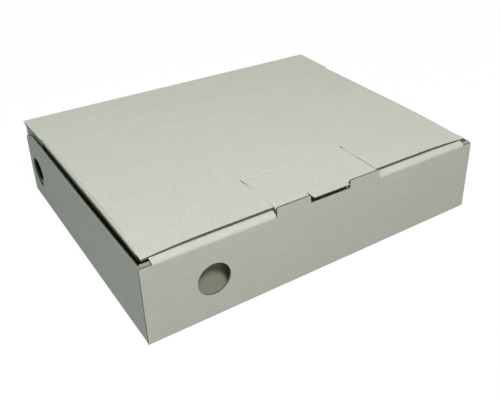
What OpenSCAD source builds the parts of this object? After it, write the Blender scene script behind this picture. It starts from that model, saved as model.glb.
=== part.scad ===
// Archive box folded from one sheet of corrugated board, closed by a hinged lid with a lock tab.
// X runs along the front wall, the front faces -Y, Z is up, and the origin is the centre of the base.

/* [Box] */
// Outside width along the front wall, mm
width = 330; // [280:1:400]
// Outside depth from the front wall to the back wall, mm
depth = 270; // [220:1:340]
// Height of the closed lid's top face above the base, mm
height = 76; // [60:1:120]
// Thickness of the board, mm
board = 1.6; // [1.4:0.1:2]
// Drop from the lid's underside to the top edges of the end walls, mm
end_wall_drop = 3.9; // [3:0.1:6]

/* [Fits] */
// Space between moving pieces and what they close on, mm
clearance = 0.3; // [0.2:0.05:0.5]
// Space between two layers of board that lie against each other, mm
layer_gap = 0.2; // [0.1:0.05:0.4]
// Radius worn onto the outside of the sloping folds, mm
fold_round = 0.5; // [0.3:0.1:0.6]

/* [Rolled front wall] */
// Depth of the rolled double wall from face to face, mm
roll_depth = 6.8; // [6.6:0.1:9]
// Rise of the rim strip from its outer fold to its inner fold, mm
rim_rise = 4.4; // [2:0.1:6]
// Distance from each end of the front wall to the rolled strip, mm
roll_inset = 10; // [6:0.5:16]
// Drop from the outer fold to the shoulders at the ends of the front panel, mm
shoulder_drop = 0.7; // [0.3:0.1:2]
// Height of the ears above the lid's top face, mm
ear_rise = 0.8; // [0:0.1:3]
// Drop from the lid's underside to the floor of the notch between the ears, mm
notch_drop = 3.2; // [1.5:0.1:5]
// Space on each side of the thumb lip in the notch, mm
notch_side = 2; // [0.6:0.1:4]
// Radius on the corners of the ears, mm
ear_round = 1; // [0.5:0.1:3]
// Length of the end wall flaps that are rolled into the front wall, mm
front_flap = 34; // [20:1:38]

/* [Lid] */
// Distance from the front face back to the lid's front edge, mm
lid_setback = 5; // [3.5:0.1:6]
// Distance from each end face in to the lid's side edge at the front, mm
lid_inset_front = 4.2; // [3.5:0.1:8]
// Distance from each end face in to the lid's side edge at the back, mm
lid_inset_back = 2.2; // [2:0.1:3]
// Depth of the dust flaps under the lid, mm
dust_drop = 24; // [12:1:34]
// Distance from the lid's front edge to the front end of each dust flap, mm
dust_front = 8; // [6:1:20]
// Distance from the back face to the rear end of each dust flap, mm
dust_back = 52; // [50:1:80]
// Size of the slanted corners of the dust flaps, mm
dust_chamfer = 10; // [3:0.5:11]

/* [Lock tab] */
// Width of the tab between its two slits, mm
tab_width = 103; // [80:1:130]
// Distance from the front face to the tab's crease, mm
tab_length = 52; // [42:1:70]
// Depth of the tuck flap below the lid's top face, mm
tuck_drop = 12; // [10.5:0.1:12.2]
// Space between the tuck flap and the inner panel behind it, mm
tuck_gap = 0.4; // [0.3:0.05:0.5]
// Width of the thumb lip, mm
lip_width = 36; // [28:1:60]
// Distance that the thumb lip stands out from the front face, mm
lip_reach = 3.1; // [2.5:0.1:4.6]
// Length of the lip's side cuts behind the tab's fold, mm
lip_root = 2.4; // [2:0.1:6]

/* [Back wall] */
// Length of the back wall's corner flaps, mm
back_flap = 47; // [30:1:49]
// Drop from the lid's underside to the top edges of the corner flaps, mm
back_flap_drop = 7.4; // [5:0.1:12]
// Size of the slanted corners of the back wall's flaps, mm
back_flap_chamfer = 6; // [3:0.5:10]

/* [Finger holes] */
// Diameter of the finger holes, mm
hole_d = 28; // [20:0.5:32]
// Distance from the left end to the centre of the front hole, mm
front_hole_x = 56.5; // [54:0.5:80]
// Height of the front hole's centre, mm
front_hole_z = 35.5; // [24:0.5:42]
// Distance from the back face to the centre of the end wall's hole, mm
end_hole_y = 25.5; // [22:0.5:28]
// Height of the end wall hole's centre, mm
end_hole_z = 32; // [24:0.5:38]
// Offset of the corner flap's own hole from the end wall's hole, mm
hole_slip = 1.2; // [0:0.1:2]

/* [Hidden] */
$fn = 48;
card = [0.77, 0.79, 0.73];
half_w = width / 2;
half_d = depth / 2;
lid_z = height - board;
rim_top = lid_z - clearance;
fold_z = rim_top - rim_rise;
shoulder_z = fold_z - shoulder_drop;
end_top = lid_z - end_wall_drop;
front_in = board - half_d;
roll_back = roll_depth - half_d;
inner_front = roll_back - board;
roll_half = half_w - roll_inset;
tab_half = tab_width / 2;
ear_half = tab_half + clearance;
lip_half = lip_width / 2;
notch_half = lip_half + notch_side;
lip_cut_half = lip_half + 2 * clearance;
ear_top = height + ear_rise;
notch_z = lid_z - notch_drop;
crease_y = tab_length - half_d;
tuck_back = inner_front - tuck_gap;
tuck_front = tuck_back - board;
lid_front = lid_setback - half_d;
slope = [roll_depth, rim_rise] / norm([roll_depth, rim_rise]);
in_a = [board * slope[1], -board * slope[0]];
in_z1 = fold_z + in_a[1] + (board - in_a[0]) * rim_rise / roll_depth;
in_z2 = fold_z + in_a[1] + (roll_depth - board - in_a[0]) * rim_rise / roll_depth;
lid_half_back = half_w - lid_inset_back;
lid_half_front = half_w - lid_inset_front;
taper = (lid_half_back - lid_half_front) / (-front_in - lid_front);
taper_angle = atan(taper);
dust_y0 = lid_front + dust_front;
dust_y1 = half_d - dust_back;
dust_run = (dust_y1 - dust_y0) / cos(taper_angle);
lid_half_dust = lid_half_front + dust_front * taper;
back_half = half_w - board - layer_gap;
flap_y = front_in + layer_gap;

// Node names; the node value picks one of them

// Curve that rounds the corner p, from r along direction a to r along direction b
function bend(p, a, b, r) =
  [for (t = [0:0.25:1]) p + r * (1 - t) * (1 - t) * a + r * t * t * b];

// Stands a profile drawn in Y and Z and runs it along X
module along_x(x0, x1) {
  translate([x0, 0, 0]) rotate([90, 0, 90]) linear_extrude(x1 - x0) children();
}

// Stands a profile drawn in X and Z and runs it along Y
module along_y(y0, y1) {
  translate([0, y1, 0]) rotate([90, 0, 0]) linear_extrude(y1 - y0) children();
}

// Quarter round of one board thickness, turned about Z from the given start angle
module fold(run, start) {
  rotate([0, 0, start]) rotate_extrude(angle = 90) square([board, run]);
}

// Fold that runs along X, with its inner corner at y and z
module fold_x(x0, x1, y, z, start) {
  translate([x0, y, z]) rotate([90, 0, 90]) fold(x1 - x0, start);
}

// Fold that runs along Y, with its inner corner at x and z
module fold_y(y0, y1, x, z, start) {
  translate([x, y1, z]) rotate([90, 0, 0]) fold(y1 - y0, start);
}

// Fold that stands up, with its inner corner at x and y
module fold_z_edge(z0, z1, x, y, start) {
  translate([x, y, z0]) fold(z1 - z0, start);
}

// Base panel with the four folds that carry the walls
module base() {
  translate([board - half_w, board - half_d, 0])
    cube([width - 2 * board, depth - 2 * board, board]);
  fold_x(-half_w, half_w, front_in, board, 180);
  fold_x(-back_half, back_half, -front_in, board, 270);
  fold_y(flap_y + board, half_d, board - half_w, board, 180);
  fold_y(flap_y + board, half_d, half_w - board, board, 270);
}

// Outline of the outer front panel: shoulders at the ends, two ears and the notch between them
module front_outline() {
  ear_foot = shoulder_z - 4 * board;
  translate([-half_w, board]) square([width, shoulder_z - board]);
  translate([-ear_half, ear_foot]) square([2 * ear_half, notch_z - ear_foot]);
  for (x0 = [-ear_half, notch_half])
    translate([x0, 0]) rounded_end(ear_half - notch_half, ear_foot, ear_top);
}

// Strip of the given width from y0 to y1 with the two corners at y1 rounded
module rounded_end(w, y0, y1) {
  down = [0, sign(y0 - y1)];
  polygon(concat([[0, y0]], bend([0, y1], down, [1, 0], ear_round),
    bend([w, y1], [-1, 0], down, ear_round), [[w, y0]]));
}

// Outer front panel with its finger hole
module front_panel() {
  difference() {
    along_y(-half_d, front_in) front_outline();
    translate([front_hole_x - half_w, front_in + board, front_hole_z])
      rotate([90, 0, 0]) cylinder(h = 3 * board, d = hole_d);
  }
}

// Section of the rolled rim: outer panel, sloping strip and inner panel in one sheet
module roll_section() {
  low = shoulder_z - 3 * board;
  polygon(concat([[-half_d, low]], bend([-half_d, fold_z], [0, -1], slope, fold_round),
    bend([roll_back, rim_top], -slope, [0, -1], fold_round),
    [[roll_back, low], [inner_front, low], [inner_front, in_z2], [front_in, in_z1], [front_in, low]]));
}

// Rolled strip on both sides of the lock tab, and the inner panel that runs behind the tab
module rolled_wall() {
  along_x(-roll_half, -ear_half - clearance) roll_section();
  along_x(ear_half + clearance, roll_half) roll_section();
  along_y(inner_front, roll_back)
    translate([-roll_half, board + clearance])
      square([2 * roll_half, rim_top - 2 * clearance - board]);
}

// End wall on the left, with the flap that turns into the front wall
module end_wall(holed) {
  difference() {
    translate([-half_w, flap_y + board, board])
      cube([board, half_d - flap_y - board, end_top - board]);
    if (holed) end_hole(0);
  }
  fold_z_edge(board + clearance, shoulder_z, board - half_w, flap_y + board, 180);
  along_y(flap_y, flap_y + board)
    polygon([[board - half_w, board + clearance], [board - half_w, shoulder_z],
      [board - half_w + front_flap, shoulder_z - board], [board - half_w + front_flap, 2 * board]]);
}

// Bore of the finger hole through the end wall, moved by slip along Y and Z
module end_hole(slip) {
  translate([-half_w - board, half_d - end_hole_y + slip, end_hole_z + slip])
    rotate([0, 90, 0]) cylinder(h = 4 * board, d = hole_d);
}

// Outline of the back wall's corner flap, drawn in Y and Z
module back_flap_outline() {
  flap_top = lid_z - back_flap_drop;
  flap_end = -front_in - back_flap;
  polygon([[-front_in, board + clearance], [-front_in, flap_top + back_flap_chamfer - board],
    [-front_in - back_flap_chamfer, flap_top], [flap_end + back_flap_chamfer / 2, flap_top],
    [flap_end, flap_top - back_flap_chamfer], [flap_end, 2 * board + back_flap_chamfer],
    [flap_end + back_flap_chamfer / 2, board + clearance]]);
}

// Corner flap on the left, folded in behind the end wall
module corner_flap(holed) {
  difference() {
    along_x(-back_half, board - back_half) back_flap_outline();
    if (holed) end_hole(hole_slip);
  }
  fold_z_edge(board + clearance, lid_z - back_flap_drop + back_flap_chamfer - board,
    board - back_half, -front_in, 90);
}

// Back wall that carries the lid's crease
module back_wall() {
  translate([board - back_half, -front_in, board])
    cube([2 * (back_half - board), board, rim_top - board]);
}

// Base, walls and rolled front of the box, in one folded sheet
module tray() {
  color(card) union() {
    base();
    front_panel();
    rolled_wall();
    back_wall();
    end_wall(true);
    mirror([1, 0, 0]) end_wall(false);
    corner_flap(true);
    mirror([1, 0, 0]) corner_flap(false);
  }
}

// Lid panel in plan, narrower at the front, with the opening that the lock tab was cut from
module lid_outline() {
  difference() {
    polygon([[-lid_half_front, lid_front], [lid_half_front, lid_front],
      [lid_half_back, -front_in], [-lid_half_back, -front_in]]);
    translate([-tab_half - clearance, -half_d])
      square([tab_width + 2 * clearance, tab_length + clearance / 2]);
    dust_relief();
    mirror([1, 0, 0]) dust_relief();
  }
}

// Strip of the lid's edge that the dust flap's own fold takes the place of
module dust_relief() {
  translate([lid_half_dust - board, dust_y0]) rotate(-taper_angle)
    square([2 * board, dust_run]);
}

// Dust flap on the right with its fold, following the lid's tapered edge
module dust_flap() {
  dust_z = lid_z - dust_drop;
  translate([lid_half_dust - board, dust_y0, 0]) rotate([0, 0, -taper_angle]) {
    fold_y(0, dust_run, 0, lid_z, 0);
    along_x(0, board)
      polygon([[0, lid_z], [dust_run, lid_z], [dust_run, dust_z + dust_chamfer],
        [dust_run - dust_chamfer, dust_z], [dust_chamfer, dust_z], [0, dust_z + dust_chamfer]]);
  }
}

// Lid with its rounded back fold and both dust flaps
module lid() {
  color(card) union() {
    translate([0, 0, lid_z]) linear_extrude(board) lid_outline();
    fold_x(-lid_half_back, lid_half_back, -front_in, lid_z, 0);
    dust_flap();
    mirror([1, 0, 0]) dust_flap();
  }
}

// Tongue of the lock tab in plan, with the thumb lip that stays in the lid's plane
module tab_outline() {
  fold_y0 = tuck_front + board;
  difference() {
    translate([-tab_half, fold_y0]) square([tab_width, crease_y - clearance / 2 - fold_y0]);
    translate([-lip_cut_half, fold_y0 - board]) square([2 * lip_cut_half, board + lip_root]);
  }
  translate([-lip_half, 0])
    rounded_end(lip_width, fold_y0 + lip_root + board, -half_d - lip_reach);
}

// Tuck flap below the tab's fold, with the gap that the thumb lip was cut from
module tuck_outline() {
  lip_cut = tuck_front + half_d + lip_reach;
  difference() {
    translate([-tab_half, height - tuck_drop]) square([tab_width, tuck_drop - board]);
    translate([-lip_cut_half, height - lip_cut]) square([2 * lip_cut_half, lip_cut]);
  }
}

// Lock tab: tongue, fold, tuck flap and thumb lip
module lock_tab() {
  color(card) union() {
    translate([0, 0, lid_z]) linear_extrude(board) tab_outline();
    fold_x(lip_cut_half, tab_half, tuck_back, lid_z, 90);
    fold_x(-tab_half, -lip_cut_half, tuck_back, lid_z, 90);
    along_y(tuck_front, tuck_back) tuck_outline();
  }
}

tray();
lid();
lock_tab();
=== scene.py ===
# Looks of a flat archive box: one die-cut sheet of grey corrugated board, folded up without glue.
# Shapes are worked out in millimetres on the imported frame, and each mesh is made in metres.
# X runs along the front wall, the front faces -Y, and Z is up.
import math

import bpy
from mathutils import Matrix, Vector


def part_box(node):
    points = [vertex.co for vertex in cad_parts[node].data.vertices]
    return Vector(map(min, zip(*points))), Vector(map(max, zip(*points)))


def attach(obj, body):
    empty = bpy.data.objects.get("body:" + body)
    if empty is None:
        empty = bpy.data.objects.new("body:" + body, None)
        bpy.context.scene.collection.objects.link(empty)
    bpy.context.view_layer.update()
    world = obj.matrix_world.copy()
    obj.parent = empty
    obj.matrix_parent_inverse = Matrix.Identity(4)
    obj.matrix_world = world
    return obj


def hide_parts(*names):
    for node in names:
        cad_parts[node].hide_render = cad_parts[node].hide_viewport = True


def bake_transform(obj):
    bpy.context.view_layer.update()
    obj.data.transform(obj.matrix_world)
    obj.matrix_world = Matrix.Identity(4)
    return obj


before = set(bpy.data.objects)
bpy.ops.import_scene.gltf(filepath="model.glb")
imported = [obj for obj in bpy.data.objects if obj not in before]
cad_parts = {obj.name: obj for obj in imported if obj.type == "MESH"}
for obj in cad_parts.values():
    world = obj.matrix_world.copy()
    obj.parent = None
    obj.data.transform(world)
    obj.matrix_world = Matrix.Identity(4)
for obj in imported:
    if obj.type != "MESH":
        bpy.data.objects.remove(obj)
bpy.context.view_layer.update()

# Base panel: the plain bottom of the sheet, with all four walls folded up from its edges.
# The sheet is fine corrugated board of recycled grey paper, two smooth liners glued to a wavy core.
# Its flutes run from front to back, so they stand upright in the front and back walls.
BOARD = 1.6
LINER = 0.25
CORE = 0.2
PITCH = 3.2
CORE_STEP = PITCH / 8
LAYER_GAP = 0.2
GREY = (0.555, 0.575, 0.492)
# Cut edges: partly the real brown-dark of cut board, partly painted shade of the open flutes and of the
# gaps under the lid's and lip's edges.
EDGE_TONE_AND_SHADE = (0.24, 0.24, 0.185)
# Core paper: its own brown, darkened further as painted shade inside the flute channels.
CORE_BROWN_AND_SHADE = (0.20, 0.195, 0.15)
# Inside liner: its own darker paper, darkened further as painted shade behind the finger holes and in the
# box's hollows.
INSIDE_TONE_AND_SHADE = (0.355, 0.36, 0.28)
LIGHT_FIBRE = (0.82, 0.83, 0.76, 1)
LINER_ROUGHNESS = 0.8
CORE_ROUGHNESS = 0.9


class Value:
    """A shader socket in an expression; arithmetic on it adds Math nodes."""

    def __init__(self, finish, socket):
        self.finish = finish
        self.socket = socket

    def math(self, operation, *rest):
        """A Math node on this value and the rest."""
        return self.finish.add("ShaderNodeMath", {"operation": operation}, dict(enumerate((self, *rest))))

    def __add__(self, other):
        return self.math("ADD", other)

    __radd__ = __add__

    def __mul__(self, other):
        return self.math("MULTIPLY", other)

    __rmul__ = __mul__

    def __sub__(self, other):
        return self.math("SUBTRACT", other)

    def __rsub__(self, other):
        return self * -1.0 + other

    def __abs__(self):
        return self.math("ABSOLUTE")

    def clamp(self):
        """The value kept between 0 and 1."""
        return self.math("MAXIMUM", 0.0).math("MINIMUM", 1.0)

    def beside(self, output):
        """Another output of the same node."""
        return Value(self.finish, self.socket.node.outputs[output])


class Finish:
    """A material under construction, with one method that adds any node."""

    def __init__(self, name):
        self.material = bpy.data.materials.new(name)
        self.material.use_nodes = True
        self.tree = self.material.node_tree
        self.shader = self.tree.nodes["Principled BSDF"]

    def add(self, kind, settings=None, inputs=None, output=0):
        """Adds a node, with its settings first, and gives the value of one of its outputs."""
        node = self.tree.nodes.new(kind)
        for name, value in (settings or {}).items():
            setattr(node, name, value)
        for key, value in (inputs or {}).items():
            self.feed(node.inputs[key], value)
        return Value(self, node.outputs[output])

    def feed(self, socket, value):
        """Links a value to a socket, or sets the socket."""
        if isinstance(value, Value):
            self.tree.links.new(value.socket, socket)
        else:
            socket.default_value = value

    def blend_colour(self, factor, first, second):
        """A colour between two others."""
        return self.add("ShaderNodeMix", {"data_type": "RGBA"}, {0: factor, 6: first, 7: second}, 2)

    def noise(self, place, scale, detail, stretch=(1, 1, 1)):
        """A cloudy pattern between 0 and 1, finer with a larger scale."""
        spread = self.add("ShaderNodeVectorMath", {"operation": "MULTIPLY"}, {0: place, 1: stretch})
        return self.add("ShaderNodeTexNoise", None, {"Vector": spread, "Scale": scale, "Detail": detail})

    def flecks(self, place, scale, above, contrast, stretch=(1, 1, 1)):
        """Sparse flecks, 1 where a fine pattern stands well above a level and 0 elsewhere."""
        return ((self.noise(place, scale, 1.0, stretch) - above) * contrast).clamp()


def shaded(colour, factor):
    """A colour made darker or lighter, as a socket takes it."""
    return tuple(min(1.0, c * factor) for c in colour) + (1,)


def swing(pattern, amount):
    """A pattern made to swing about zero."""
    return (pattern - 0.5) * amount


def board_liner(name, colour):
    """Grey recycled paper: cloudy pulp, short fibres, flecks, and the flutes showing faintly through."""
    paper = Finish(name)
    place = paper.add("ShaderNodeTexCoord", output="Object")
    clouds = paper.noise(place, scale=45.0, detail=3.0)
    mottle = paper.noise(place, scale=240.0, detail=2.0)
    pulp = paper.noise(place, scale=420.0, detail=3.0)
    fibres = paper.noise(place, scale=900.0, detail=2.0, stretch=(1, 0.22, 1))
    dark = paper.flecks(place, scale=1150.0, above=0.66, contrast=9.0)
    light = paper.flecks(place, scale=760.0, above=0.67, contrast=8.0, stretch=(1, 0.6, 1))
    level = swing(clouds, 0.3) + swing(mottle, 0.4) + swing(pulp, 0.36) + swing(fibres, 0.3) + 0.5
    shade = paper.blend_colour(level.clamp(), shaded(colour, 0.86), shaded(colour, 1.13))
    shade = paper.blend_colour(dark * 0.5, shade, shaded(colour, 0.52))
    shade = paper.blend_colour(light * 0.4, shade, LIGHT_FIBRE)
    paper.feed(paper.shader.inputs["Base Color"], shade)
    paper.feed(paper.shader.inputs["Roughness"], swing(pulp, 0.2) + LINER_ROUGHNESS)
    paper.shader.inputs["Specular IOR Level"].default_value = 0.25
    across = paper.add("ShaderNodeSeparateXYZ", None, {0: place})
    upward = across.beside(2)
    normal = paper.add("ShaderNodeNewGeometry", output="True Normal")
    facing = paper.add("ShaderNodeSeparateXYZ", None, {0: normal})
    on_end_wall = (abs(facing) - 0.7).clamp() * 3.0
    phase_per_metre = 2000.0 * math.pi / PITCH
    along_front = (across * phase_per_metre).math("COSINE")
    up_end_wall = (upward * phase_per_metre).math("COSINE") * on_end_wall
    height = (along_front + up_end_wall) * 0.06 + fibres * 0.12 + pulp * 0.15 + clouds * 0.3
    bump = paper.add("ShaderNodeBump", None, {"Strength": 0.35, "Distance": 0.0006, "Height": height})
    paper.feed(paper.shader.inputs["Normal"], bump)
    return paper.material


def board_core(name, colour):
    """Cut edges and core paper: rougher than the liner, with torn fibres, and darker, partly their own
    colour and partly painted shade of the open flutes and the gaps beside them.
    """
    paper = Finish(name)
    place = paper.add("ShaderNodeTexCoord", output="Object")
    fuzz = paper.noise(place, scale=1500.0, detail=3.0)
    level = (swing(fuzz, 1.6) + 0.5).clamp()
    shade = paper.blend_colour(level, shaded(colour, 0.8), shaded(colour, 1.12))
    paper.feed(paper.shader.inputs["Base Color"], shade)
    paper.shader.inputs["Roughness"].default_value = CORE_ROUGHNESS
    paper.shader.inputs["Specular IOR Level"].default_value = 0.15
    bump = paper.add("ShaderNodeBump", None, {"Strength": 0.4, "Distance": 0.0002, "Height": fuzz})
    paper.feed(paper.shader.inputs["Normal"], bump)
    return paper.material


FACE, EDGE, CORE_FACE, INSIDE = range(4)
board_papers = [board_liner("grey_liner", GREY), board_core("cut_edge_and_shade", EDGE_TONE_AND_SHADE),
                board_core("core_paper_and_shade", CORE_BROWN_AND_SHADE), board_liner("inside_liner_and_shade", INSIDE_TONE_AND_SHADE)]
# Distances that count as none, the step that tests which way a place function turns, and the angle
# in degrees under which neighbouring faces are shaded smooth.
SAME = 1e-6
NEAR = 1e-4
PROBE = 0.01
SMOOTH_UNDER = 35


def columns(values, step):
    """Sorted places across the flutes, with extra ones so that none are further apart than step."""
    marks = sorted(set(round(v, 5) for v in values))
    out = []
    for a, b in zip(marks, marks[1:]):
        parts = max(1, math.ceil((b - a) / step - SAME))
        out += [a + (b - a) * i / parts for i in range(parts)]
    return out + [marks[-1]]


def strips(loops, marks):
    """Cuts an outline with holes into strips along the flutes: (a0, a1, low0, low1, high0, high1)."""
    edges = [(p, q) for loop in loops for p, q in zip(loop, loop[1:] + loop[:1]) if abs(p[0] - q[0]) > SAME]
    for a0, a1 in zip(marks, marks[1:]):
        mid = (a0 + a1) / 2
        crossed = []
        for p, q in edges:
            if min(p[0], q[0]) < mid < max(p[0], q[0]):
                rise = (q[1] - p[1]) / (q[0] - p[0])
                crossed.append([p[1] + rise * (a - p[0]) for a in (mid, a0, a1)])
        crossed.sort()
        for low, high in zip(crossed[::2], crossed[1::2]):
            yield a0, a1, low[1], low[2], high[1], high[2]


def turned_inward(place, at):
    """Whether place mirrors the board at a point, which turns its faces over."""
    here = Vector(place(*at))
    steps = ((PROBE, 0, 0), (0, PROBE, 0), (0, 0, PROBE))
    arms = [Vector(place(*(a + d for a, d in zip(at, step)))) - here for step in steps]
    return arms[0].cross(arms[1]).dot(arms[2]) < 0


class Sheet:
    """Folded board as a mesh: panels with liners and core, and closed sections for folds."""

    def __init__(self):
        self.points = []
        self.faces = []
        self.kinds = []
        self.known = {}

    def point(self, p):
        """The number of a point, shared by the faces of one piece of paper."""
        key = (round(p[0], 4), round(p[1], 4), round(p[2], 4))
        if key not in self.known:
            self.known[key] = len(self.points)
            self.points.append(key)
        return self.known[key]

    def face(self, corners, kind, flip=False):
        """Adds a face, unless its corners fall together."""
        ring = []
        for corner in corners:
            i = self.point(corner)
            if i not in ring:
                ring.append(i)
        if len(ring) > 2:
            self.faces.append(ring[::-1] if flip else ring)
            self.kinds.append(kind)

    def panel(self, place, loops, along="v", rows=1, step=math.inf, core=True):
        """A panel of board. place(u, v, w) gives a point, with w from 0 inside to BOARD outside."""
        spot = place
        if along == "u":
            loops = [[(v, u) for u, v in loop] for loop in loops]

            def spot(a, b, w):
                return place(b, a, w)
        flip = turned_inward(spot, (0, 0, 0))
        corners = [p[0] for loop in loops for p in loop]
        regions = list(strips(loops, columns(corners, step)))
        layers = [(0.0, BOARD, (INSIDE, FACE))]
        if core:
            layers = [(0.0, LINER, (INSIDE, CORE_FACE)), (BOARD - LINER, BOARD, (CORE_FACE, FACE))]
        for w0, w1, kinds in layers:
            self.known = {}
            for region in regions:
                self.slab(spot, region, (w0, w0), (w1, w1), rows, kinds, EDGE, flip)
            for loop in loops:
                for p, q in zip(loop, loop[1:] + loop[:1]):
                    if abs(p[0] - q[0]) <= SAME:
                        self.side(spot, p, q, w0, w1, rows, regions, flip)
        if core:
            self.known = {}
            swing = BOARD / 2 - LINER - CORE / 2
            for region in strips(loops, columns(corners, CORE_STEP)):
                middle = [BOARD / 2 + swing * math.cos(2 * math.pi * a / PITCH) for a in region[:2]]
                low = [w - CORE / 2 for w in middle]
                high = [w + CORE / 2 for w in middle]
                self.slab(spot, region, low, high, rows, (CORE_FACE, CORE_FACE), CORE_FACE, flip)

    def slab(self, spot, region, low, high, rows, kinds, rim, flip):
        """One strip of a layer, with both its faces and its two ends across the flutes."""
        a0, a1, b00, b01, b10, b11 = region
        for i in range(rows):
            s, t = i / rows, (i + 1) / rows
            near = [(a0, b00 + (b10 - b00) * s), (a1, b01 + (b11 - b01) * s)]
            far = [(a1, b01 + (b11 - b01) * t), (a0, b00 + (b10 - b00) * t)]
            ring = near + far
            self.face([spot(*p, high[k]) for p, k in zip(ring, (0, 1, 1, 0))], kinds[1], flip)
            self.face([spot(*p, low[k]) for p, k in zip(ring[::-1], (0, 1, 1, 0))], kinds[0], flip)
        for p, q, turn in (((a0, b00), (a1, b01), flip), ((a0, b10), (a1, b11), not flip)):
            ends = [spot(*p, low[0]), spot(*q, low[1]), spot(*q, high[1]), spot(*p, high[0])]
            self.face(ends, rim, turn)

    def side(self, spot, p, q, w0, w1, rows, regions, flip):
        """The cut side of a layer that runs along the flutes."""
        mid = (p[1] + q[1]) / 2
        inside = any(abs(r[1] - p[0]) < NEAR and r[3] <= mid <= r[5] for r in regions)
        lo, hi = min(p[1], q[1]), max(p[1], q[1])
        for i in range(rows):
            b0, b1 = [lo + (hi - lo) * (i + k) / rows for k in (0, 1)]
            ring = [spot(p[0], b0, w0), spot(p[0], b1, w0), spot(p[0], b1, w1), spot(p[0], b0, w1)]
            self.face(ring, EDGE, flip if inside else not flip)

    def run(self, place, section, s0, s1, rows=1, hidden=()):
        """A closed section (p, q) run from s0 to s1, as place(s, p, q) says; hidden sides are inside."""
        self.known = {}
        area = sum(a[0] * b[1] - b[0] * a[1] for a, b in zip(section, section[1:] + section[:1]))
        flip = turned_inward(place, (s0, *section[0])) != (area < 0)
        for i in range(rows):
            a, b = s0 + (s1 - s0) * i / rows, s0 + (s1 - s0) * (i + 1) / rows
            for k, (p, q) in enumerate(zip(section, section[1:] + section[:1])):
                kind = INSIDE if k in hidden else FACE
                self.face([place(a, *p), place(a, *q), place(b, *q), place(b, *p)], kind, not flip)
        self.face([place(s0, *p) for p in section], EDGE, not flip)
        self.face([place(s1, *p) for p in section], EDGE, flip)

    def make(self, name):
        """Makes the object, in metres, with smooth shading only across shallow angles."""
        mesh = bpy.data.meshes.new(name)
        mesh.from_pydata([[c * 0.001 for c in p] for p in self.points], [], self.faces)
        for paper in board_papers:
            mesh.materials.append(paper)
        mesh.polygons.foreach_set("material_index", self.kinds)
        mesh.update()
        mesh.shade_smooth()
        mesh.set_sharp_from_angle(angle=math.radians(SMOOTH_UNDER))
        obj = bpy.data.objects.new(name, mesh)
        bpy.context.scene.collection.objects.link(obj)
        return obj


def box_mm(node):
    """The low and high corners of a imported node's box, in millimetres."""
    return [[c * 1000 for c in corner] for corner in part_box(node)]


def oblong(a0, b0, a1, b1):
    """Outline of an oblong between two corners."""
    return [(a0, b0), (a1, b0), (a1, b1), (a0, b1)]


def arc(centre, radius, start, end, parts=8):
    """Points of an arc in degrees."""
    turns = [math.radians(start + (end - start) * i / parts) for i in range(parts + 1)]
    return [(centre[0] + radius * math.cos(t), centre[1] + radius * math.sin(t)) for t in turns]


def quarter(centre, start):
    """Section of a square fold: the outer liner rounds the crushed inner corner."""
    return arc(centre, BOARD, start, start + 90) + [centre]


def base_place(u, v, w):
    """Place on the base, whose outer liner lies underneath."""
    return (u, v, BOARD - w)


def along_x(s, p, q):
    """Place in a fold that runs along X."""
    return (s, p, q)


def along_y(s, p, q):
    """Place in a fold that runs along Y."""
    return (p, s, q)


def upright(s, p, q):
    """Place in a fold that stands up."""
    return (p, q, s)


half_w, half_d, ear_top = box_mm("tray")[1]
end_in = half_w - BOARD
front_in = half_d - BOARD
flap_back = front_in - LAYER_GAP - BOARD
back_half = end_in - LAYER_GAP
tray = Sheet()
tray.panel(base_place, [oblong(-end_in, -front_in, end_in, front_in)], core=False)
tray.run(along_x, quarter((-front_in, BOARD), 180), -half_w, half_w)
tray.run(along_x, quarter((front_in, BOARD), 270), -back_half, back_half)
tray.run(along_y, quarter((-end_in, BOARD), 180), -flap_back, half_d)
tray.run(along_y, quarter((end_in, BOARD), 270), -flap_back, half_d)

# Outer front panel: the front wall's outer layer, folded up from the base, with a punched finger hole.
# Where the lock tab closes, the rim strip is cut away and the panel stands up as two ears with a
# notch between them. The board bulges outward a little in the middle.
FOLD_Z = 69.6
FOLD_ROUND = 2.2
SHOULDER_Z = 68.9
ROLL_END = 155.0
SEAM = 0.4
EAR_HALF = 51.8
EAR_ROUND = 1.2
EAR_SLIT = 0.3
EAR_FOOT = 0.6
NOTCH_HALF = 20.0
NOTCH_Z = 69.8
HOLE_R = 14.0
FRONT_HOLE_IN = 56.5
FRONT_HOLE_Z = 35.5
SWELL = 0.5
SWELL_TOP = 70.0


def circle(centre, radius, parts=48):
    """Outline of a punched hole, turning against the panel's own outline."""
    return arc(centre, radius, 360, 0, parts)[:-1]


def both_sides(right):
    """A whole outline from its right half."""
    return right + [(-a, b) for a, b in right[::-1]]


def swell(x, z):
    """How far the front panel bulges at a place."""
    return SWELL * math.cos(math.pi * x / (2 * half_w)) * math.sin(math.pi * min(z, SWELL_TOP) / SWELL_TOP)


def front_place(u, v, w):
    """Place on the front panel."""
    return (u, -front_in - w - swell(u, v), v)


fold_start = FOLD_Z - FOLD_ROUND
front_right = [(half_w, BOARD), (half_w, SHOULDER_Z), (ROLL_END + SEAM, SHOULDER_Z),
               (ROLL_END + SEAM, fold_start), (EAR_HALF + EAR_SLIT, fold_start),
               (EAR_HALF, fold_start - EAR_FOOT)]
front_right += arc((EAR_HALF - EAR_ROUND, ear_top - EAR_ROUND), EAR_ROUND, 0, 90, 4)
front_right += arc((NOTCH_HALF + EAR_ROUND, ear_top - EAR_ROUND), EAR_ROUND, 90, 180, 4)
front_right += [(NOTCH_HALF, NOTCH_Z)]
front_hole = circle((FRONT_HOLE_IN - half_w, FRONT_HOLE_Z), HOLE_R)
tray.panel(front_place, [both_sides(front_right), front_hole], rows=6, step=8.0)

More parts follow.
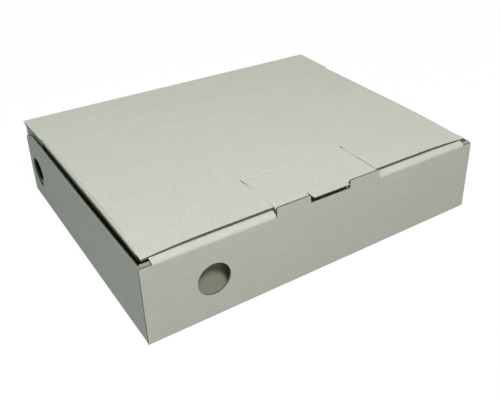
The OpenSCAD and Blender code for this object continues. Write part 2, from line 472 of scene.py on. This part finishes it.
# Rolled rim and inner panel: from a soft outer fold the sheet slopes up and back as a narrow rim strip,
# then rolls down inside the box. The inner panel is one piece behind the whole front. Only the folds
# hold it, so it bows back a little, and it shows through the finger hole.
RIM_TOP = 72.6
RIM_ROUND = 1.3
ROLL_DEPTH = 6.8
ROLL_LOW = 66.0
ROLL_BOW = 5.0
TAB_SLOT_DROP = 0.3


def rounded(corner, before, after, radius, parts=5):
    """Points that round a corner between two directions."""
    corner, before, after = Vector(corner), Vector(before), Vector(after)
    shares = [i / parts for i in range(parts + 1)]
    return [tuple(corner + before * radius * (1 - t) ** 2 + after * radius * t * t) for t in shares]


def rim_inside(y):
    """Height of the rim strip's inner face."""
    return FOLD_Z + (y + half_d) * slope[1] / slope[0] - BOARD / slope[0]


def rim_place(s, p, q):
    """Place in the rolled rim, which follows the front panel's bulge."""
    return (s, p - swell(s, q) * (roll_back - p) / ROLL_DEPTH, q)


def inner_place(u, v, w):
    """Place on the inner panel."""
    share = min(1.0, (v - BOARD) / (ROLL_LOW - BOARD))
    return (u, inner_front + w + ROLL_BOW * math.sin(math.pi * share), v)


roll_back = ROLL_DEPTH - half_d
inner_front = roll_back - BOARD
slope = Vector((ROLL_DEPTH, RIM_TOP - FOLD_Z)).normalized()
rim_section = [(-front_in, fold_start)]
rim_section += rounded((-half_d, FOLD_Z), (0, -1), slope, FOLD_ROUND, 8)
rim_section += rounded((roll_back, RIM_TOP), -slope, (0, -1), RIM_ROUND)
rim_section += [(roll_back, ROLL_LOW), (inner_front, ROLL_LOW), (inner_front, rim_inside(inner_front)),
                (-front_in, rim_inside(-front_in))]
slot_half = EAR_HALF + SEAM
for side in (-1, 1):
    tray.run(rim_place, rim_section, *sorted((side * ROLL_END, side * slot_half)), rows=14)
inner_right = [(ROLL_END, BOARD + SEAM), (ROLL_END, ROLL_LOW), (slot_half, ROLL_LOW),
               (slot_half, RIM_TOP - TAB_SLOT_DROP)]
tray.panel(inner_place, [both_sides(inner_right)], rows=8)

# End walls: single layers folded up from the base's short edges, bowed out a little along their tops.
# Each has a flap that turns the corner and is held between the two layers of the front wall.
# The die crushed their top edges and cut their rear corners at a slant. The left wall has a finger hole.
END_TOP = 69.5
END_BOW = 0.8
SLANT_FOOT_Z = 24
SLANT_IN, SLANT_DROP = 3.4, 8
CORNER_IN, CORNER_DROP = 6, 6
TOP_END_IN = 24
END_HOLE_IN = 25.5
END_HOLE_Z = 32.0
CRUSH = 0.8
CRUSH_SKIN = 0.1
FOOT_GAP = 0.3
FRONT_FLAP = 34.0
FRONT_FLAP_TOP = 70.6
FRONT_FLAP_DROP = 1.8
STEP_FOOT_GAP, STEP_TOP_GAP = 0.3, 0.8


def end_wall(side):
    """Gives the place function of an end wall."""
    def place(u, v, w):
        bow = END_BOW * math.cos(math.pi * u / (2 * half_d)) * (v / END_TOP) ** 2
        return (side * (end_in + w + bow), u, v)
    return place


def front_flap(side):
    """Gives the place function of an end wall's front flap, which is drawn as the left one."""
    def place(u, v, w):
        return (-side * u, -flap_back - w, v)
    return place


end_loop = [(-flap_back, BOARD), (half_d, BOARD), (half_d, SLANT_FOOT_Z),
            (half_d - SLANT_IN, END_TOP - SLANT_DROP), (half_d - CORNER_IN, END_TOP - CORNER_DROP),
            (half_d - TOP_END_IN, END_TOP), (-flap_back, END_TOP)]
end_crush = oblong(END_TOP - CRUSH, CRUSH, END_TOP - CRUSH_SKIN, BOARD - CRUSH_SKIN)
front_flap_low = SHOULDER_Z - FRONT_FLAP_DROP
front_flap_loop = [(-end_in, BOARD + FOOT_GAP), (-end_in + FRONT_FLAP, 2 * BOARD),
                   (-end_in + FRONT_FLAP, front_flap_low), (-ROLL_END - STEP_FOOT_GAP, front_flap_low),
                   (-ROLL_END - STEP_TOP_GAP, FRONT_FLAP_TOP), (-end_in, FRONT_FLAP_TOP)]
flap_crush = oblong(FRONT_FLAP_TOP - CRUSH, CRUSH_SKIN, FRONT_FLAP_TOP, BOARD - CRUSH_SKIN)
for side in (-1, 1):
    holes = [circle((half_d - END_HOLE_IN, END_HOLE_Z), HOLE_R)] if side < 0 else []
    tray.panel(end_wall(side), [end_loop] + holes, along="u", rows=8, step=8.0)
    tray.run(end_wall(side), end_crush, -flap_back, half_d - TOP_END_IN, rows=24, hidden=range(4))
    tray.run(upright, quarter((side * end_in, -flap_back), 225 + side * 45), BOARD + FOOT_GAP, END_TOP)
    tray.panel(front_flap(side), [front_flap_loop], along="u")
    tray.run(front_flap(side), flap_crush, -end_in, -ROLL_END - STEP_TOP_GAP, hidden=range(4))

# Back wall and its corner flaps: the back wall is folded up from the base and carries the lid.
# Its corner flaps turn in behind the end walls and stand a little above them, leaning in. The left
# flap has its own hole, punched out of line with the wall's.
CREASE_LOW = 72.2
BACK_FLAP = 47.0
FLAP_TOP = 73.6
FLAP_TOP_FALL = 0.6
FLAP_FOOT_IN = 3
FLAP_FOOT_RISE = 6
FLAP_LEAN = 1.8
SLIP_BACK, SLIP_UP = 7.0, 2.0


def back_place(u, v, w):
    """Place on the back wall."""
    return (u, front_in + w, v)


def corner_flap(side):
    """Gives the place function of a corner flap."""
    def place(u, v, w):
        lean = FLAP_LEAN * (front_in - u) / BACK_FLAP * (v / FLAP_TOP) ** 2
        return (side * (back_in + w - lean), u, v)
    return place


back_in = back_half - BOARD
tray.panel(back_place, [oblong(-back_in, BOARD, back_in, CREASE_LOW)], core=False)
flap_end = front_in - BACK_FLAP
corner_flap_loop = [(flap_end + FLAP_FOOT_IN, BOARD + FOOT_GAP), (front_in, BOARD + FOOT_GAP),
                    (front_in, FLAP_TOP), (flap_end, FLAP_TOP - FLAP_TOP_FALL),
                    (flap_end, 2 * BOARD + FLAP_FOOT_RISE)]
slipped_hole = circle((half_d - END_HOLE_IN + SLIP_BACK, END_HOLE_Z + SLIP_UP), HOLE_R)
for side in (-1, 1):
    holes = [slipped_hole] if side < 0 else []
    tray.panel(corner_flap(side), [corner_flap_loop] + holes, rows=6)
    tray.run(upright, quarter((side * back_in, front_in), 45 - side * 45), BOARD + FOOT_GAP, FLAP_TOP)
tray_sheet = tray.make("tray_sheet")
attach(tray_sheet, "tray")
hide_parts("tray")

# Lid panel: it hangs on the back wall's top crease and rests on the rolled rim, with a dust flap folded
# down along each side. The board is a little tired: the front edge settles on the rim, and both front
# corners droop past the ends of the rolled strip. Two slits in its front free the lock tab.
LID_INSET_FRONT = 4.2
LID_BACK_GAP = 0.3
CREASE_BACK = 131.0
CREASE_Y = -81.5
SLIT_HALF = 51.5
BACK_LIFT = 0.6
FRONT_SAG = 0.8
CROWN = 0.9
CORNER_DROOP = 2.6
DROOP_FROM, DROOP_RUN = 100.0, 61.0
DROOP_CURVE = 2.2
DROOP_BACK = 90.0
DUST_FRONT_IN = 8.0
DUST_BACK_IN = 52.0
DUST_DROP = 24.0
DUST_CHAMFER = 10.0
DUST_LEAN = 0.32
DUST_STEP = 0.8


def settle(x, y):
    """How far the lid's board stands above its flat place."""
    share = min(1.0, max(0.0, (y - lid_front) / (CREASE_BACK - lid_front)))
    line = -FRONT_SAG + (BACK_LIFT + FRONT_SAG) * share
    crown = CROWN * math.sin(math.pi * share) * math.cos(math.pi * x / (2 * lid_half_back))
    outward = max(0.0, (abs(x) - DROOP_FROM) / DROOP_RUN) ** DROOP_CURVE
    forward = max(0.0, 1.0 - max(0.0, y - lid_front) / DROOP_BACK) ** 2
    return line + crown - CORNER_DROOP * outward * forward


def lid_place(u, v, w):
    """Place on the lid, with w from its underside to its top."""
    return (u, v, lid_z + w + settle(u, v))


def lid_edge(y):
    """Distance from the middle to the lid's side edge, which runs inward to the front."""
    return lid_half_front + (lid_half_back - lid_half_front) / (front_in - lid_front) * (y - lid_front)


def dust_flap(side):
    """Gives the place function of a dust flap."""
    def place(u, v, w):
        edge = lid_edge(u)
        return (side * (edge - BOARD + w + DUST_LEAN * (v - lid_z)), u, v + settle(edge, u) - DUST_LEAN * w)
    return place


def dust_fold(side):
    """Gives the place function of a dust flap's fold, whose section is drawn about its inner corner."""
    def place(s, p, q):
        edge = lid_edge(s)
        return (side * (edge - BOARD + p), s, q + lid_z + settle(edge, s))
    return place


lid_low, lid_high = box_mm("lid")
lid_z = lid_high[2] - BOARD
lid_front = lid_low[1]
lid_half_back = lid_high[0]
lid_half_front = half_w - LID_INSET_FRONT
dust_front = lid_front + DUST_FRONT_IN
dust_back = half_d - DUST_BACK_IN
lid_right = [(lid_half_front, lid_front), (lid_edge(dust_front), dust_front),
             (lid_edge(dust_front) - BOARD, dust_front), (lid_edge(dust_back) - BOARD, dust_back),
             (lid_edge(dust_back) + DUST_STEP, dust_back), (half_w - LID_BACK_GAP, CREASE_BACK)]
# Each slit as pairs of its width and how far back it is, from its root to the lid's front edge.
right_slit = [(0.9, CREASE_Y), (0.9, -83.5), (0.3, -87.0), (0.3, -100.0), (0.6, -106.0), (0.6, lid_front)]
left_slit = [(0.9, CREASE_Y), (0.9, -86.0), (0.3, -93.0), (0.08, -97.0), (0.08, -122.0), (0.4, lid_front)]
lid_loop = both_sides(lid_right) + [(-SLIT_HALF - gap, y) for gap, y in left_slit[::-1]]
lid_loop += [(SLIT_HALF + gap, y) for gap, y in right_slit]
dust_low = lid_z - DUST_DROP
dust_loop = [(dust_front, lid_z), (dust_front, dust_low + DUST_CHAMFER),
             (dust_front + DUST_CHAMFER, dust_low), (dust_back - DUST_CHAMFER, dust_low),
             (dust_back, dust_low + DUST_CHAMFER), (dust_back, lid_z)]
dust_section = arc((0, 0), BOARD, -math.degrees(math.atan(DUST_LEAN)), 90) + [(0, 0)]
lid = Sheet()
lid.panel(lid_place, [lid_loop], rows=16, step=8.0)
for side in (-1, 1):
    lid.panel(dust_flap(side), [dust_loop], along="u", rows=16, step=6.0)
    lid.run(dust_fold(side), dust_section, dust_front, dust_back, rows=24)
lid_sheet = lid.make("lid_sheet")
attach(lid_sheet, "lid")
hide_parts("lid")

# Lid crease: the scored fold between the back wall and the lid, one strip of the same sheet.
# Its outer liner runs round the fold and its inner corner is crushed.
SCORE = 0.9
SCORE_SHIFT = 0.05
CREASE_RISE = 3.0


def crease_place(s, p, q):
    """Place in the crease, which widens and rises with the lid's back edge."""
    share = min(1.0, max(0.0, (q - CREASE_LOW) / CREASE_RISE))
    return (s * (1 + share * crease_flare), p, q + share * settle(s, CREASE_BACK))


crease_flare = (half_w - LID_BACK_GAP) / back_in - 1
crease_outside = [(half_d, CREASE_LOW)] + arc((front_in, lid_z), BOARD, 0, 90, 10)
crease_outside += [(CREASE_BACK, lid_z + BOARD)]
crease_inside = [(CREASE_BACK, lid_z), (front_in - SCORE, lid_z - SCORE_SHIFT),
                 (front_in - SCORE_SHIFT, lid_z - SCORE), (front_in, CREASE_LOW)]
crease_section = crease_outside + crease_inside
crease = Sheet()
crease.run(crease_place, crease_section, -back_in, back_in, rows=30,
           hidden=range(len(crease_outside), len(crease_section) - 1))
crease_strip = crease.make("lid_crease")
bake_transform(crease_strip)

# Lock tab: a tongue slit out of the lid's front. Its tuck flap folds down into the slot behind the ears,
# while the thumb lip, cut free at both sides, stays flat and sticks out through the notch.
# The die has crushed the lip thin towards its tip.
LIP_HALF = 18.0
LIP_CUT = 18.9
LIP_SHUT = 18.2
LIP_SHORT = 1.0
LIP_ROUND = 1.2
LIP_ROOT_LENGTH = 2.4
LIP_CRUSH = 0.55
CRUSH_FROM = 3.0
TUCK_GAP = 0.4
CREASE_TAB = -84.5


def tab_place(u, v, w):
    """Place on the tab, whose top lies in the lid's."""
    share = min(1.0, max(0.0, (lip_full - v) / (lip_full - lip_front)))
    x, y, z = lid_place(u, v, BOARD)
    return (x, y, z - (BOARD - w) * (1.0 - LIP_CRUSH * share))


def tuck_place(u, v, w):
    """Place on the tuck flap."""
    return (u, tuck_back - w, v + settle(u, tuck_back))


def tuck_fold(s, p, q):
    """Place in the fold between the tongue and the tuck flap."""
    return (s, p, q + settle(s, tuck_back))


tab_low, tab_high = box_mm("lock_tab")
tab_half = tab_high[0]
tuck_low = tab_low[2]
lip_front = tab_low[1] + LIP_SHORT
tuck_back = inner_front - TUCK_GAP
lip_root = tuck_back + LIP_ROOT_LENGTH
lip_full = lip_root - CRUSH_FROM
lip_turn = LIP_HALF - LIP_ROUND
tab_loop = [(-tab_half, CREASE_TAB), (-tab_half, tuck_back), (-LIP_CUT, tuck_back), (-LIP_CUT, lip_root),
            (-LIP_HALF, lip_root)]
tab_loop += arc((-lip_turn, lip_front + LIP_ROUND), LIP_ROUND, 180, 270, 4)
tab_loop += arc((lip_turn, lip_front + LIP_ROUND), LIP_ROUND, 270, 360, 4)
tab_loop += [(LIP_HALF, tuck_back), (tab_half, tuck_back), (tab_half, CREASE_TAB)]
lip_gap_z = lid_z + BOARD - (tuck_back - BOARD - lip_front)
tuck_loop = [(-tab_half, tuck_low), (tab_half, tuck_low), (tab_half, lid_z), (LIP_SHUT, lid_z),
             (LIP_SHUT, lip_gap_z), (-LIP_CUT, lip_gap_z), (-LIP_CUT, lid_z), (-tab_half, lid_z)]
tab = Sheet()
tab.panel(tab_place, [tab_loop], rows=12, step=6.0)
tab.panel(tuck_place, [tuck_loop], step=8.0)
tab.run(tuck_fold, quarter((tuck_back, lid_z), 90), -tab_half, -LIP_CUT, rows=6)
tab.run(tuck_fold, quarter((tuck_back, lid_z), 90), LIP_SHUT, tab_half, rows=6)
tab_sheet = tab.make("lock_tab_sheet")
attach(tab_sheet, "lock_tab")
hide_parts("lock_tab")

# Tab crease: the line pressed across the tongue's root, between the ends of the two slits.
# It is part of the same sheet, with the liner pushed in on both sides.
PRESS_TOP = 0.3
PRESS_UNDER = 0.15
PRESS_PARTS = 8


def press_place(s, p, q):
    """Place in the pressed strip."""
    return (s, p, lid_z + q + settle(s, p))


shares = [i / PRESS_PARTS for i in range(PRESS_PARTS + 1)]
press_top = [(CREASE_Y + (CREASE_TAB - CREASE_Y) * t, BOARD - PRESS_TOP * math.sin(math.pi * t) ** 2)
             for t in shares]
press_under = [(CREASE_Y + (CREASE_TAB - CREASE_Y) * t, PRESS_UNDER * math.sin(math.pi * t) ** 2)
               for t in shares[::-1]]
press = Sheet()
press.run(press_place, press_top + press_under, -tab_half, tab_half, rows=16,
          hidden=range(len(press_top), 2 * len(press_top) - 1))
press_strip = press.make("tab_crease")
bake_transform(press_strip)

# Floor: a plain pale sheet that reaches past the picture on all sides and keeps the box's shadow.
# The camera sees it mostly as a white glow, and lamp light reaches the box from it as from grey paper.
FLOOR_SIZE = 40
FLOOR_GREY = 0.4
FLOOR_ROUGHNESS = 0.9
FLOOR_GLOW = 1.09
GLOW_SHARE = 0.88
bpy.ops.mesh.primitive_plane_add(size=FLOOR_SIZE, location=(0, 0, 0))
floor = bpy.context.object
floor.name = "floor"
sheet = Finish("pale_floor")
sheet.shader.inputs["Base Color"].default_value = (FLOOR_GREY, FLOOR_GREY, FLOOR_GREY, 1)
sheet.shader.inputs["Roughness"].default_value = FLOOR_ROUGHNESS
camera_rays = sheet.add("ShaderNodeLightPath", output="Is Camera Ray")
seen = camera_rays + camera_rays.beside("Is Glossy Ray") + camera_rays.beside("Is Transmission Ray")
glow = sheet.add("ShaderNodeEmission", None, {"Color": (1, 1, 1, 1), "Strength": FLOOR_GLOW})
lit = Value(sheet, sheet.shader.outputs[0])
surface = sheet.add("ShaderNodeMixShader", None, {0: seen.clamp() * GLOW_SHARE, 1: lit, 2: glow})
sheet.feed(sheet.tree.nodes["Material Output"].inputs["Surface"], surface)
floor.data.materials.append(sheet.material)

# Studio light: a small strong lamp in front and above, and broad weak ones above, at the left and behind.
# They stand in a dim even room that lifts the shadows a little.
ROOM_GLOW = 0.05


def lamp(name, place, aim, size, power, tint=(1, 1, 1)):
    """A square lamp that looks at a point."""
    light = bpy.data.lights.new(name, "AREA")
    light.size = size
    light.energy = power
    light.color = tint
    holder = bpy.data.objects.new(name, light)
    holder.location = place
    holder.rotation_euler = (Vector(aim) - Vector(place)).to_track_quat("-Z", "Y").to_euler()
    bpy.context.scene.collection.objects.link(holder)


lamp("top_lamp", place=(-0.25, 0.05, 1.55), aim=(0, 0, 0), size=0.7, power=3.9)
lamp("key_lamp", place=(-0.2, -1.0, 1.4), aim=(0, 0, 0.04), size=0.32, power=22.3)
lamp("side_lamp", place=(-1.3, -0.4, 0.8), aim=(0, 0, 0.04), size=0.6, power=4.2, tint=(0.8, 0.96, 1.0))
lamp("back_lamp", place=(0.7, 1.2, 1.0), aim=(0, 0, 0.04), size=0.6, power=4.5)
room = bpy.data.worlds.new("room")
room.use_nodes = True
room.node_tree.nodes["Background"].inputs["Color"].default_value = (1, 1, 1, 1)
room.node_tree.nodes["Background"].inputs["Strength"].default_value = ROOM_GLOW
bpy.context.scene.world = room
bpy.context.scene.view_settings.view_transform = "Standard"

# Camera: stands in front and to the left of the box, looking down at it, as the photograph was taken.
# Its place and turn were fitted to the box's corners in the photograph.
CAMERA_AT = (-0.28397, -0.48271, 0.34599)
CAMERA_TURN, CAMERA_RISE = math.radians(-35.062), math.radians(29.448)
FOCAL_PX = 657.0
CENTRE_PX = (290.0, 170.0)
PHOTO_PX = (500, 400)
SENSOR_MM = 36
camera_data = bpy.data.cameras.new("camera")
camera_data.lens = FOCAL_PX * SENSOR_MM / PHOTO_PX[0]
camera_data.shift_x = (PHOTO_PX[0] / 2 - CENTRE_PX[0]) / PHOTO_PX[0]
camera_data.shift_y = (CENTRE_PX[1] - PHOTO_PX[1] / 2) / PHOTO_PX[0]
camera = bpy.data.objects.new("camera", camera_data)
level_back = math.cos(CAMERA_RISE)
backward = Vector((math.sin(CAMERA_TURN) * level_back, -math.cos(CAMERA_TURN) * level_back,
                   math.sin(CAMERA_RISE)))
rightward = Vector((0, 0, 1)).cross(backward).normalized()
turned = Matrix((rightward, backward.cross(rightward), backward)).transposed()
camera.matrix_world = Matrix.Translation(CAMERA_AT) @ turned.to_4x4()
bpy.context.scene.collection.objects.link(camera)
bpy.context.scene.camera = camera
